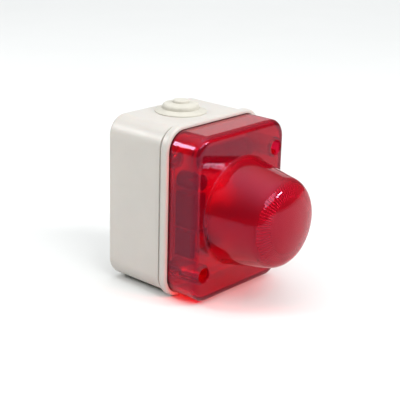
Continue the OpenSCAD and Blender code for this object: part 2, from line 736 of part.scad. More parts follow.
// Two end pieces and the limb between them, on which the coil is wound
module transformer_core() color("#343233") facing() {
    end_x = trafo_w / 2 - trafo_core_t;
    limb_z = board_front + trafo_rise / 2;
    for (s = [-1, 1]) translate([trafo_x + s * (end_x + trafo_core_t / 2), trafo_y, 0])
        standing_block(trafo_core_t, trafo_len, trafo_rise, 0.6);
    translate([trafo_x - end_x - lead_d, trafo_y, limb_z]) rotate([0, 90, 0])
        cylinder(d = trafo_rise / 3, h = 2 * (end_x + lead_d));
    at(trafo_leads) lead(board_front + lead_d);
}

module transformer_winding() color("#8a4a24") facing() {
    coil_len = trafo_w - 2 * trafo_core_t;
    limb_z = board_front + trafo_rise / 2;
    translate([trafo_x - coil_len / 2, trafo_y, limb_z]) rotate([0, 90, 0])
        ring(trafo_rise - 4 * lead_gap, trafo_rise / 3 + 2 * lead_gap, 0, coil_len);
}

module thyristor() color("#262626") facing() {
    at([[thyristor_x, thyristor_y]]) standing_block(thyristor_w, thyristor_t, thyristor_rise, 0.4);
    at(thyristor_leads) lead(board_front + lead_d);
}

module charging_resistor() color("#d9d4c6") facing() {
    half = resistor_len / 2;
    axis_z = board_front + resistor_t / 2;
    at([[resistor_x, resistor_y]]) {
        standing_block(resistor_len, resistor_t, resistor_t, 0.8);
        for (s = [-1, 1]) bent_lead(s * (half - lead_d), s * (half + 2 * lead_bend), axis_z);
    }
}

module rectifier_diodes() color("#2a2a2c") facing() for (y = diode_at) translate([0, y, 0]) {
    axis_z = board_front + diode_d / 2;
    middle = (diode_lead_x[0] + diode_lead_x[1]) / 2;
    translate([middle - diode_len / 2, 0, axis_z]) rotate([0, 90, 0]) cylinder(d = diode_d, h = diode_len);
    for (x = diode_lead_x) bent_lead(middle + sign(x - middle) * (diode_len / 2 - lead_d), x, axis_z);
}

// One clamp cavity for each way, open to the wires below and to the screwdriver in front
module terminal_block() color("#3f6f8f") facing() difference() {
    at([[terminal_x, terminal_y]]) standing_block(terminal_w, terminal_h, terminal_rise, 0.5);
    for (x = way_at) translate([x, terminal_y, 0]) {
        bar(terminal_screw_d + 4 * screw_gap, clamp_top, board_front + terminal_rise + over);
        translate([0, 0, clamp_top + wire_d / 2]) rotate([90, 0, 0]) cylinder(d = wire_d, h = terminal_h);
        bar(wire_d + 4 * screw_gap, board_front + terminal_floor, clamp_top + wire_d * 0.75);
        bar(lead_d + 2 * lead_gap, board_front - over, clamp_top);
    }
}

module terminal_screws() color("#c2b280") facing() for (x = way_at) translate([x, terminal_y, 0]) {
    seat = board_front + terminal_rise - terminal_sink;
    difference() {
        bar(terminal_screw_d, clamp_top, seat);
        translate([-terminal_screw_d, -screw_slot_w / 2, seat - screw_slot_d])
            cube([2 * terminal_screw_d, screw_slot_w, screw_slot_d + over]);
    }
}

// Clamp plate with its solder pin
module terminal_clamps() color("#c9c2a8") facing() for (x = way_at) translate([x, terminal_y, 0]) {
    bar(wire_d, clamp_top - clamp_t, clamp_top);
    lead(clamp_top - clamp_t / 2);
}

rear_box();
cable_grommet();
box_gasket();
front_frame();
frame_screws();
lens_gasket();
lens_cover();
lens_screws();
lens_screw_seals();
circuit_board();
board_screws();
tube_socket();
flash_tube();
tube_caps();
trigger_wire();
storage_capacitor();
film_capacitor();
choke();
transformer_core();
transformer_winding();
thyristor();
charging_resistor();
rectifier_diodes();
terminal_block();
terminal_screws();
terminal_clamps();
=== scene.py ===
"""Looks of the wall signal light: an ivory surface box, its frame and grommet, and a red lens with a dome."""

import json
import math

import bmesh
import bpy
import numpy as np
from mathutils import Matrix, Vector


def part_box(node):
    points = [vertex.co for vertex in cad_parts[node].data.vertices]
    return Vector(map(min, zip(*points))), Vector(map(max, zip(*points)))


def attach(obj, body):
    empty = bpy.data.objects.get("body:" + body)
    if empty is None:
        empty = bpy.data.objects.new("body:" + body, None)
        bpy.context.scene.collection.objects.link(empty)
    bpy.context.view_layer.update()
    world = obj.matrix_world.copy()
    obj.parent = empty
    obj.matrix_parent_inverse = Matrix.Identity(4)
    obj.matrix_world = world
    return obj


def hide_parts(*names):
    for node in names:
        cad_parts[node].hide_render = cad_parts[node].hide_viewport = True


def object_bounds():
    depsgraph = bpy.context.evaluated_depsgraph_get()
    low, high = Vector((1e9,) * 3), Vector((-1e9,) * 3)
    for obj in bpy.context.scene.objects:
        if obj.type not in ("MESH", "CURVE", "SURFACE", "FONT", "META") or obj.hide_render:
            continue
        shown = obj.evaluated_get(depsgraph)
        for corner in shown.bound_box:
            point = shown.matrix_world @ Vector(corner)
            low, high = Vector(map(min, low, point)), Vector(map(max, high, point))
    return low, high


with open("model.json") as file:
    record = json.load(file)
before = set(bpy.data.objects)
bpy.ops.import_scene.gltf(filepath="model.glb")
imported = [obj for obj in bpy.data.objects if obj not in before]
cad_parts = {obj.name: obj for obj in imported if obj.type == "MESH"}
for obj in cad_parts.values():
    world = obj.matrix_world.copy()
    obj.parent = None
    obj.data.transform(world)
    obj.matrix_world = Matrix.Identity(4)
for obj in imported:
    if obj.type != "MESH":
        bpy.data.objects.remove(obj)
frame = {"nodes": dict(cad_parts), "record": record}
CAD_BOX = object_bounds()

bl_info = {
    "name": "Wall signal light",
    "version": (1, 0, 0),
    "blender": (4, 5, 0),
    "location": "View3D > Sidebar > Signal light",
    "description": "Builds the shells, flash tube, winding, finishes and studio of a wall signal light",
    "category": "Object",
}

MM = 0.001

# fineness of the meshes
AROUND = 432  # rays round the light's axis, six to each prism inside the dome
BOX_STEPS = 8  # steps of a rounded edge of the box
GROMMET_AROUND, GROMMET_STEPS = 144, 7
HOLE_AROUND = 40  # holes and bosses of the box
POST_AROUND, POST_STEPS = 64, 4  # pillars and recesses of the lens
EDGE_ROWS, ROOT_ROWS, CONE_ROWS, PRISM_ROWS, SHOULDER_ROWS, CROWN_ROWS = 9, 7, 8, 13, 15, 14
FRONT_SHARES = (0.02, 0.25, 0.5, 0.75, 0.98)  # rows of the lens's flat front, from its edge to the dome
TUBE_SIDES, LEG_ROWS, BEND_ROWS, ELECTRODE_AROUND = 28, 12, 41, 32
COIL_AROUND, COIL_STEPS = 96, 8  # points round the coil, and rows along each turn

# small distances that serve the meshes, in metres, and angles
JOIN = 2e-6  # points nearer than this are one
FLAT = 1e-7  # edges and radii under this count as nothing
LEAST_CORNER = 1e-5  # the corner radius left when an outline is moved in past it
NOTHING = 1e-9  # keeps a division by a sine or cosine finite
STRAIGHT = 1.565  # half the angle in radians from which a corner counts as straight
FAN = 10 * MM  # inset from which the box's flat back and floor are closed to their middle
SUPPORT = 0.3 * MM  # distance of the row of points that keeps the skirt flat beside its rounded edge
OVERRUN = 1 * MM  # how far a cutting tool runs past the surface
HAIR = 0.05 * MM  # keeps a tool's face off the surface beside it
SHARP = 38  # degrees from which an edge is shaded hard
SOFT_SHARP = 50  # the same for the grommet and the glass
COIL_SHARP = 60  # the same for the coil

# the studio: place, target, width and height of each soft box in metres, and its brightness against white
LAMPS = {
    "window": ((-0.53, 0.585, 0.49), (0, 0, 0), 0.2, 0.24, 27),
    "front": ((-0.19, -0.87, 0.8), (0, 0, 0), 0.8, 0.55, 5.2),
    "rim": ((0.99, 0.78, 0.42), (0, 0, 0.04), 0.9, 0.46, 0.78),
    "side": ((0.39, -0.89, 0.525), (0, 0, 0), 0.26, 0.13, 54),
}
FLOOR_REACH = (0, 0.05, 0.2, 0.6, 1.5, 4.0)  # radii of the floor's rings in metres
FLOOR_AROUND = 96
TENT_LOW, TENT_HIGH, TENT_SEEN = 0.17, 2.7, 0.85  # brightness near the floor, overhead and behind the light
TENT_FALL = 4.0  # how fast the tent dims from overhead to the floor

# the camera, fitted to the straight edges of the box and the lens
CAMERA_PLACE = (-0.3733, -0.3615, 0.1686)
CAMERA_ACROSS = (0.66895, -0.74287, 0.02577)
CAMERA_UP = (0.22336, 0.23396, 0.94625)
CAMERA_BACK = (-0.70896, -0.62723, 0.32243)
CAMERA_LENS, CAMERA_FILM = 96.68, 36.0  # in millimetres
CAMERA_NEAR = 0.01


def linear(code):
    """An sRGB hex colour as linear red, green, blue and alpha."""
    share = np.array([int(code[i:i + 2], 16) for i in (1, 3, 5)]) / 255
    return (*np.where(share <= 0.04045, share / 12.92, ((share + 0.055) / 1.055) ** 2.4).tolist(), 1.0)


def size(name, text, default_mm):
    """A length that a user may change, given here in millimetres."""
    return bpy.props.FloatProperty(name=name, description=text, default=default_mm * MM, unit="LENGTH",
                                   precision=5)


def colour(name, text, code):
    """A colour that a user may change."""
    return bpy.props.FloatVectorProperty(name=name, description=text, default=linear(code), size=4,
                                         subtype="COLOR", min=0.0, max=1.0)


class BoxSizes(bpy.types.PropertyGroup):
    """Sizes of the rear box."""
    width: size("Box width", "Width of the rear box", 64.6)
    height: size("Box height", "Height of the rear box", 82)
    depth: size("Box depth", "Depth of the rear box", 36)
    corner: size("Box corner", "Radius of the long edges", 9.8)
    rear: size("Rear edge", "Radius of the rear edges", 2.1)
    wall: size("Box wall", "Thickness of the side walls", 2.2)
    floor: size("Box floor", "Thickness of the floor", 2.6)
    inside: size("Inside edge", "Radius between the walls and the floor", 1)
    hole: size("Wall hole", "Diameter of the wall holes", 4.5)
    pitch_x: size("Wall pitch, sideways", "Spacing of the wall holes, sideways", 30)
    pitch_z: size("Wall pitch, upright", "Spacing of the wall holes, up and down", 62)
    pad: size("Pad", "Radius of the pad round a wall hole", 4.5)
    pad_height: size("Pad height", "Height of the pad above the floor", 2)
    boss: size("Boss", "Radius of a screw boss", 3.8)
    boss_front: size("Boss front", "Distance of a boss's front from the wall", 34.8)
    boss_bore: size("Boss bore", "Radius of the screw's bore in a boss", 1.75)
    bore_end: size("Bore end", "Distance of that bore's end from the wall", 24)
    step: size("Rim step", "Depth of the step round the box's rim", 0.6)
    step_length: size("Rim step length", "Length of that step along the box's depth", 1.6)
    entry: size("Cable entry", "Diameter of the cable entry in the top wall", 20)
    soft: size("Soft edge", "Radius that moulding leaves on a sharp edge", 0.3)
    fine: size("Fine edge", "Radius in the corner of the rim's step", 0.1)


class LensSizes(bpy.types.PropertyGroup):
    """Sizes of the lens, its dome and its screw recesses."""
    width: size("Lens width", "Width of the skirt", 63)
    height: size("Lens height", "Height of the skirt", 80.4)
    corner: size("Lens corner", "Radius of the skirt's corners", 9.4)
    back: size("Lens back", "Distance of the skirt's back edge from the wall", 39)
    rim: size("Lens rim", "Chamfer of the skirt's back edge", 0.2)
    front: size("Lens front", "Distance of the lens's front from the wall", 57.2)
    edge: size("Front edge", "Radius of the front edge", 3)
    inner_edge: size("Inner edge", "Radius inside the front edge", 1)
    wall: size("Lens wall", "Thickness of the skirt and of the front", 2.4)
    root: size("Dome root", "Radius of the dome at its root", 26.5)
    root_round: size("Root round", "Hollow radius at the dome's root", 0.8)
    root_inside: size("Root inside", "Chamfer inside the dome's root", 0.3)
    rise: size("Dome rise", "Height of the dome above the front", 32.1)
    crown: size("Crown", "Radius of the dome's end", 48)
    shoulder: size("Shoulder", "Radius of the dome's shoulder", 7.7)
    shoulder_in: size("Shoulder inset", "How far the shoulder's centre lies inside the root", 12.3)
    dome_wall: size("Dome wall", "Thickness of the dome", 2.2)
    prism: size("Prism depth", "Depth of the grooves between the prisms inside the shoulder", 0.45)
    prism_in: size("Prism ring", "Radius of the inner edge of the ring of prisms", 13)
    prism_back: size("Prism back", "How far the ring stands in from the dome at its edges", 0.3)
    prism_skin: size("Prism skin", "What a groove leaves before the dome's own inside", 0.02)
    prism_from: bpy.props.FloatProperty(name="Prism start", default=math.radians(35), subtype="ANGLE",
                                        description="Angle of the ring's outer edge on the shoulder")
    prism_count: bpy.props.IntProperty(name="Prisms", default=72,
                                       description="Number of prisms round the dome")
    screw_x: size("Screw, sideways", "Distance of the lens screws from the middle, sideways", 25)
    screw_z: size("Screw, upright", "Distance of the lens screws from the middle, upright", 26.2)
    recess: size("Recess", "Radius of the screw recess", 3.7)
    recess_depth: size("Recess depth", "Depth of the screw recess", 12)
    mouth: size("Recess mouth", "Radius of the edge at the recess's mouth", 0.35)
    pillar: size("Pillar", "Radius of the pillar round the recess", 5)
    foot: size("Pillar foot", "Radius of the pillar's foot", 3.6)
    foot_back: size("Foot back", "Distance of the foot from the wall", 37)
    foot_length: size("Foot length", "Length of the foot", 3.2)
    foot_round: size("Foot edge", "Radius of the foot's edge", 0.2)
    hole: size("Screw hole", "Radius of the screw hole", 1.95)
    soft: size("Soft edge", "Radius of the pillar's edge and of the recess's floor", 0.3)
    fine: size("Fine edge", "Radius at the foot's corner and at the screw hole", 0.1)


class GrommetSizes(bpy.types.PropertyGroup):
    """Sizes of the rubber grommet on the box's top."""
    away: size("From wall", "Distance of the grommet's axis from the wall", 17.2)
    wall: size("Membrane", "Thickness of the step's side and top", 1.2)
    neck: size("Neck", "Radius in the cable entry", 9.9)
    lip: size("Lip", "Radius of the lip under the top wall", 10.4)
    lip_depth: size("Lip depth", "Depth of the lip", 1.5)
    flange: size("Flange", "Radius of the flange", 12.6)
    rim: size("Rim", "Thickness of the flange's rim", 0.5)
    flange_height: size("Flange height", "Height of the flange at the step", 1.9)
    groove: size("Groove", "Width of the groove round the step's foot", 0.5)
    groove_depth: size("Groove depth", "Depth of that groove", 0.3)
    step: size("Step", "Radius of the middle step", 9)
    step_height: size("Step height", "Height of the middle step", 2)
    step_round: size("Step round", "Radius of the step's top edge", 1.4)
    crown: size("Crown", "Rise of the step's top towards the button", 0.6)
    seam: size("Seam", "Depth of the seam round the button", 0.12)
    button: size("Button", "Radius of the top button", 4)
    button_height: size("Button height", "Height of the top button", 1.3)
    button_round: size("Button round", "Radius of the button's top edge", 0.6)
    soft: size("Soft edge", "Radius inside the step, under the lip and in the groove", 0.5)
    edge: size("Edge", "Radius of the flange's rim and of the bore's end", 0.3)
    fine: size("Fine edge", "Radius of the other edges, and the button's draft", 0.1)


class CircuitSizes(bpy.types.PropertyGroup):
    """Sizes of the flash tube's inside and of the transformer's winding."""
    bore: bpy.props.FloatProperty(name="Tube bore", default=0.66, min=0.0, max=1.0, subtype="FACTOR",
                                  description="Bore of the flash tube, as a share of its radius")
    gap: size("Electrode gap", "Distance of an electrode from the end of its leg", 0.2)
    stem: size("Stem", "Radius of an electrode's stem", 0.5)
    stem_end: size("Stem end", "Distance of the stem's end from the end of its leg", 5)
    head: size("Head", "Radius of an electrode's head", 1.2)
    head_length: size("Head length", "Length of the head", 2.5)
    head_round: size("Head round", "Radius of the head's front edge", 0.5)
    head_back: size("Head back", "Radius of the head's back edge", 0.2)
    fine: size("Fine edge", "Radius where the stem meets the head, and the rise of the head's tip", 0.1)
    wire: size("Wire", "Thickness of the enamelled wire", 0.5)
    limb: size("Limb", "Radius of the winding's bore on the core's limb", 1.7)


class Finishes(bpy.types.PropertyGroup):
    """Colours of the visible materials."""
    ivory: colour("Ivory ABS", "Box and frame", "#beb9b2")
    rubber: colour("Ivory rubber", "Grommet", "#bcb8ac")
    red: colour("Red polycarbonate", "Lens", "#c81437")
    board: colour("Paper laminate", "Circuit board", "#cdb183")
    floor: colour("Studio floor", "Floor under the light", "#d9d9d7")


def angles(count):
    """Angles spaced evenly round a circle."""
    return np.linspace(0, 2 * np.pi, count, endpoint=False)


def four(x, z):
    """Four places on the back, mirrored sideways and upright."""
    return [(i * x, 0, k * z) for i in (-1, 1) for k in (-1, 1)]


def outline(theta, width, height, corner):
    """Distance from the middle to a rounded rectangle along rays at the angles theta: a ray ends on an
    upright side at width/2/|cos|, on a level side at height/2/|sin|, or else on the corner's circle."""
    cosine, sine = np.abs(np.cos(theta)), np.abs(np.sin(theta))
    across, up = width / 2 - corner, height / 2 - corner
    side, top = width / 2 / np.maximum(cosine, NOTHING), height / 2 / np.maximum(sine, NOTHING)
    toward = across * cosine + up * sine
    bend = toward + np.sqrt(np.maximum(toward ** 2 - (across ** 2 + up ** 2 - corner ** 2), 0))
    return np.where(side * sine <= up, side, np.where(top * cosine <= across, top, bend))


def inset(amounts, width, height, corner, theta):
    """Rows of radii of a rounded rectangle, moved in by each of the amounts."""
    rows = [outline(theta, width - 2 * i, height - 2 * i, max(corner - i, LEAST_CORNER)) for i in amounts]
    return np.array(rows)


def spread(radius, depth, theta):
    """Points of rings round the light's axis, from the radius along each ray and the depth from the wall."""
    depth = np.broadcast_to(depth, radius.shape)
    return np.stack([radius * np.cos(theta), -depth, radius * np.sin(theta)], -1)


def rounded(corners, steps=5):
    """A path through corners (u, v, radius), where an arc that touches both legs replaces each inner corner.
    The arc's points are its two ends, mixed by the sines of their angles to the point."""
    path = [np.array([corners[0][:2]])]
    for before, (u, v, radius), after in zip(corners, corners[1:], corners[2:]):
        point = np.array([u, v])
        back, on = np.array(before[:2]) - point, np.array(after[:2]) - point
        back, on = back / np.linalg.norm(back), on / np.linalg.norm(on)
        half = math.acos(np.clip(back @ on, -1, 1)) / 2
        if radius < FLAT or half > STRAIGHT:
            path.append(point[None])
            continue
        middle = point + (back + on) / np.linalg.norm(back + on) * radius / math.sin(half)
        reach = radius / math.tan(half)
        first, last = point + back * reach - middle, point + on * reach - middle
        swing = math.acos(np.clip(first @ last / radius ** 2, -1, 1))
        share = np.linspace(0, 1, steps + 1)[:, None]
        mixed = np.sin((1 - share) * swing) * first + np.sin(share * swing) * last
        path.append(middle + mixed / math.sin(swing))
    path.append(np.array([corners[-1][:2]]))
    return np.vstack(path)


def rod(radius, low, high, soft=0):
    """The profile of a round rod between two heights, with the edge at its high end rounded."""
    return rounded([(0, low, 0), (radius, low, 0), (radius, high, soft), (0, high, 0)])


def swept(path, width, height, corner, theta):
    """A path of (inset, depth) carried round a rounded rectangle: the outline moved in by each inset."""
    return spread(inset(path[:, 0], width, height, corner, theta), path[:, 1:2], theta)


def turned(path, theta, centre=(0, 0, 0), axis="out"):
    """A path of (radius, height) turned about an axis through centre, which points out of the wall or up."""
    radius, height = path[:, :1], np.broadcast_to(path[:, 1:2], (len(path), len(theta)))
    x, y = radius * np.cos(theta), radius * np.sin(theta)
    points = np.stack([x, -height, y] if axis == "out" else [x, y, height], -1)
    return points + np.array(centre)


def tube(line, radius):
    """Rings of a round tube along a line of points in a level plane, each across the line's direction."""
    step = np.gradient(line, axis=0)
    side = np.cross(step / np.linalg.norm(step, axis=1)[:, None], (0, 0, 1))
    turn = angles(TUBE_SIDES)[None, :, None]
    return line[:, None] + radius * (np.cos(turn) * side[:, None] + np.sin(turn) * np.array([0, 0, 1]))


def centred(rings):
    """Rings with their first and last ring closed to a point at the ring's middle."""
    first, last = (np.broadcast_to(ring.mean(0), ring.shape)[None] for ring in (rings[0], rings[-1]))
    return np.concatenate([first, rings, last])


def solid(name, grids, sharp=SHARP):
    """A mesh object from grids of points that close round their columns. Points that coincide are joined, so
    seams and poles are closed, faces point outwards, and only edges over the angle sharp stay hard."""
    points, faces, count = [], [], 0
    for grid in grids:
        rows, columns = grid.shape[:2]
        index = count + np.arange(rows * columns).reshape(rows, columns)
        row, above = index[:-1], index[1:]
        corners = [row, np.roll(row, -1, 1), np.roll(above, -1, 1), above]
        faces.append(np.stack(corners, -1).reshape(-1, 4))
        points.append(grid.reshape(-1, 3))
        count += rows * columns
    mesh = bpy.data.meshes.new(name)
    mesh.from_pydata(np.vstack(points).tolist(), [], np.vstack(faces).tolist())
    clean(mesh, sharp)
    obj = bpy.data.objects.new(name, mesh)
    bpy.context.scene.collection.objects.link(obj)
    return obj


def clean(mesh, sharp=SHARP):
    """Joins double points, turns the faces outwards and keeps only edges over the angle sharp hard."""
    work = bmesh.new()
    work.from_mesh(mesh)
    bmesh.ops.remove_doubles(work, verts=work.verts, dist=JOIN)
    bmesh.ops.dissolve_degenerate(work, edges=work.edges, dist=FLAT)
    bmesh.ops.recalc_face_normals(work, faces=work.faces)
    work.to_mesh(mesh)
    work.free()
    mesh.shade_smooth()
    mesh.set_sharp_from_angle(angle=math.radians(sharp))


def cut(obj, other, operation):
    """Joins another solid to obj or cuts it out, and removes the other."""
    step = obj.modifiers.new("cut", "BOOLEAN")
    step.object, step.operation, step.solver = other, operation, "EXACT"
    graph = bpy.context.evaluated_depsgraph_get()
    mesh = bpy.data.meshes.new_from_object(obj.evaluated_get(graph))
    obj.modifiers.clear()
    old, obj.data = obj.data, mesh
    mesh.name = obj.name
    bpy.data.meshes.remove(old)
    bpy.data.objects.remove(other)
    clean(mesh)


def place(obj, material, slot, *nodes):
    """Gives a finished piece its material, its body and the solids that it stands for."""
    obj.data.materials.clear()
    obj.data.materials.append(material)
    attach(obj, "root")
    if nodes:
        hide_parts(*nodes)


def add(tree, kind, inputs=None, **settings):
    """Adds one node. Settings are its own properties, and an input is a value or the socket that feeds it."""
    made = tree.nodes.new(kind)
    for key, value in settings.items():
        setattr(made, key, value)
    for key, value in (inputs or {}).items():
        if isinstance(value, bpy.types.NodeSocket):
            tree.links.new(value, made.inputs[key])
        else:
            made.inputs[key].default_value = value
    return made


def begin(name):
    """An empty material, its nodes and its Object coordinates."""
    material = bpy.data.materials.new(name)
    material.use_nodes = True
    tree = material.node_tree
    tree.nodes.clear()
    return material, tree, add(tree, "ShaderNodeTexCoord").outputs["Object"]


def finish(material, shader):
    """Shows the shader on the material's surface."""
    add(material.node_tree, "ShaderNodeOutputMaterial", {"Surface": shader.outputs[0]})
    return material


def per(grain_mm):
    """The scale of a pattern whose real size is given in millimetres."""
    return 1 / (grain_mm * MM)


def mottled(tree, at, code, grain_mm, low, high):
    """A colour that varies a little with noise of the given grain, between low and high times its brightness.
    The noise lies mostly between 0.3 and 0.7."""
    noise = add(tree, "ShaderNodeTexNoise", {"Vector": at, "Scale": per(grain_mm), "Detail": 4.0})
    shade = add(tree, "ShaderNodeMapRange", {
        "Value": noise.outputs["Fac"], "From Min": 0.3, "From Max": 0.7, "To Min": low, "To Max": high,
    })
    return add(tree, "ShaderNodeMix", {"Factor": 1.0, "A": code, "B": shade.outputs["Result"]},
               data_type="RGBA", blend_type="MULTIPLY").outputs["Result"]


def moulded_abs(name, code):
    """Ivory ABS, injection moulded in a fine spark-eroded tool: a soft satin sheen, a hardly seen grain and
    faint cloudy flow marks. The real grain is finer, and is drawn this coarse so that it shows."""
    material, tree, at = begin(name)
    tint = mottled(tree, at, code, 14, 0.965, 1.015)
    grain = add(tree, "ShaderNodeTexNoise", {"Vector": at, "Scale": per(0.35), "Detail": 2.0})
    flow = add(tree, "ShaderNodeTexNoise", {"Vector": at, "Scale": per(9), "Detail": 3.0})
    rough = add(tree, "ShaderNodeMapRange", {"Value": flow.outputs["Fac"], "To Min": 0.34, "To Max": 0.5})
    bump = add(tree, "ShaderNodeBump", {
        "Height": grain.outputs["Fac"], "Strength": 0.12, "Distance": 0.05 * MM,
    })
    shader = add(tree, "ShaderNodeBsdfPrincipled", {
        "Base Color": tint, "Roughness": rough.outputs["Result"], "Normal": bump.outputs["Normal"],
        "IOR": 1.53, "Subsurface Weight": 0.08, "Subsurface Scale": 2 * MM,
    })
    return finish(material, shader)


def moulded_rubber(name, code, rough=0.62):
    """Soft thermoplastic rubber, moulded: matt, with a fine dusty grain that spreads the light. The grain is
    drawn coarser than the real one, so that it shows."""
    material, tree, at = begin(name)
    tint = mottled(tree, at, code, 3.5, 0.94, 1.03)
    grain = add(tree, "ShaderNodeTexNoise", {"Vector": at, "Scale": per(0.5), "Detail": 3.0})
    bump = add(tree, "ShaderNodeBump", {
        "Height": grain.outputs["Fac"], "Strength": 0.2, "Distance": 0.06 * MM,
    })
    shader = add(tree, "ShaderNodeBsdfPrincipled", {
        "Base Color": tint, "Roughness": rough, "IOR": 1.5, "Normal": bump.outputs["Normal"],
        "Sheen Weight": 0.15,
    })
    return finish(material, shader)


def red_polycarbonate(name, code, front, inside=False):
    """Clear red polycarbonate. Outside, where the mould is polished, it has sharp highlights and a slight
    waviness that bends reflections. Inside, the eroded mould leaves a fine haze that blurs what lies behind,
    most of all in the dome, in front of the given distance from the wall. Lamps reach what is behind it
    through the same red. The IOR is matched to the light's faint reflections, under the usual 1.58."""
    material, tree, at = begin(name)
    wave = add(tree, "ShaderNodeTexNoise", {"Vector": at, "Scale": per(16), "Detail": 1.0})
    bump = add(tree, "ShaderNodeBump", {"Height": wave.outputs["Fac"], "Strength": 0.1, "Distance": 0.4 * MM})
    haze = add(tree, "ShaderNodeTexNoise", {"Vector": at, "Scale": per(5), "Detail": 5.0})
    low, high = (0.18, 0.26) if inside else (0.02, 0.07)
    rough = add(tree, "ShaderNodeMapRange", {"Value": haze.outputs["Fac"], "To Min": low, "To Max": high})
    if inside:
        out = add(tree, "ShaderNodeSeparateXYZ", {"Vector": at}).outputs["Y"]
        dome = add(tree, "ShaderNodeMapRange", {
            "Value": out, "From Min": -front - 4 * MM, "From Max": -front, "To Min": 0.3, "To Max": 0.0,
        })
        rough = add(tree, "ShaderNodeMath", {0: rough.outputs[0], 1: dome.outputs[0]}, operation="ADD")
    tint = mottled(tree, at, code, 20, 0.97, 1.02)
    body = add(tree, "ShaderNodeBsdfPrincipled", {
        "Base Color": tint, "Roughness": rough.outputs[0], "IOR": 1.36, "Transmission Weight": 0.9,
        "Specular Tint": linear("#ffc5f6"), "Normal": bump.outputs["Normal"],
    })
    clear = add(tree, "ShaderNodeBsdfTransparent", {"Color": (1.0, *(math.sqrt(c) for c in code[1:3]), 1.0)})
    path = add(tree, "ShaderNodeLightPath")
    both = add(tree, "ShaderNodeMixShader", {
        0: path.outputs["Is Shadow Ray"], 1: body.outputs[0], 2: clear.outputs[0],
    })
    return finish(material, both)


def plated(name, code, rough, streak_mm=0.4):
    """Plated metal from a turned or stamped blank: bright, with fine streaks that stretch the highlight. They
    are drawn coarser than the real ones, so that they show."""
    material, tree, at = begin(name)
    along = add(tree, "ShaderNodeMapping", {"Vector": at, "Scale": (1.0, 0.08, 1.0)})
    streak = add(tree, "ShaderNodeTexNoise", {
        "Vector": along.outputs[0], "Scale": per(streak_mm), "Detail": 2.0,
    })
    gloss = add(tree, "ShaderNodeMapRange", {
        "Value": streak.outputs["Fac"], "To Min": rough * 0.7, "To Max": rough * 1.4,
    })
    tint = mottled(tree, at, code, 1.5, 0.88, 1.04)
    shader = add(tree, "ShaderNodeBsdfPrincipled", {
        "Base Color": tint, "Metallic": 1.0, "Roughness": gloss.outputs["Result"],
    })
    return finish(material, shader)


def board_laminate(name, code, fibre_mm=0.45):
    """Paper laminate, pressed and sawn, bare on the side of the components: a warm tan with cloudy resin and
    short paper fibres that run one way and roughen its sheen."""
    material, tree, at = begin(name)
    cloud = mottled(tree, at, code, 7, 0.88, 1.04)
    along = add(tree, "ShaderNodeMapping", {"Vector": at, "Scale": (0.12, 1.0, 1.0)})
    tint = mottled(tree, along.outputs[0], cloud, fibre_mm, 0.9, 1.05)
    fibre = add(tree, "ShaderNodeTexNoise", {
        "Vector": along.outputs[0], "Scale": per(fibre_mm), "Detail": 3.0,
    })
    gloss = add(tree, "ShaderNodeMapRange", {"Value": fibre.outputs["Fac"], "To Min": 0.35, "To Max": 0.55})
    bump = add(tree, "ShaderNodeBump", {
        "Height": fibre.outputs["Fac"], "Strength": 0.2, "Distance": 0.05 * MM,
    })
    shader = add(tree, "ShaderNodeBsdfPrincipled", {
        "Base Color": tint, "Roughness": gloss.outputs["Result"], "Normal": bump.outputs["Normal"],
    })
    return finish(material, shader)


def moulded_body(name, code, rough, grain_mm=0.6):
    """Filled moulding resin, sleeve or cement of a component: an even colour with a fine grain, drawn coarser
    than the real one so that it shows."""
    material, tree, at = begin(name)
    tint = mottled(tree, at, code, 2.2, 0.85, 1.1)
    grain = add(tree, "ShaderNodeTexNoise", {"Vector": at, "Scale": per(grain_mm), "Detail": 3.0})
    bump = add(tree, "ShaderNodeBump", {
        "Height": grain.outputs["Fac"], "Strength": 0.15, "Distance": 0.08 * MM,
    })
    shader = add(tree, "ShaderNodeBsdfPrincipled", {
        "Base Color": tint, "Roughness": rough, "IOR": 1.52, "Normal": bump.outputs["Normal"],
    })
    return finish(material, shader)


def drawn_glass(name, code):
    """Drawn glass tube: clear, with lengthwise draw lines that ripple its highlights."""
    material, tree, at = begin(name)
    along = add(tree, "ShaderNodeMapping", {"Vector": at, "Scale": (1.0, 0.05, 1.0)})
    lines = add(tree, "ShaderNodeTexNoise", {"Vector": along.outputs[0], "Scale": per(1.2), "Detail": 2.0})
    bump = add(tree, "ShaderNodeBump", {
        "Height": lines.outputs["Fac"], "Strength": 0.1, "Distance": 0.1 * MM,
    })
    tint = mottled(tree, at, code, 6, 0.97, 1.0)
    shader = add(tree, "ShaderNodeBsdfPrincipled", {
        "Base Color": tint, "Roughness": 0.02, "IOR": 1.47, "Transmission Weight": 1.0,
        "Normal": bump.outputs["Normal"],
    })
    return finish(material, shader)


def painted_floor(name, code):
    """Matt emulsion paint, rolled: an even pale field with a hardly seen roller stipple."""
    material, tree, at = begin(name)
    tint = mottled(tree, at, code, 60, 0.99, 1.0)
    shader = add(tree, "ShaderNodeBsdfPrincipled", {
        "Base Color": tint, "Roughness": 0.9, "Specular IOR Level": 0.1,
    })
    return finish(material, shader)


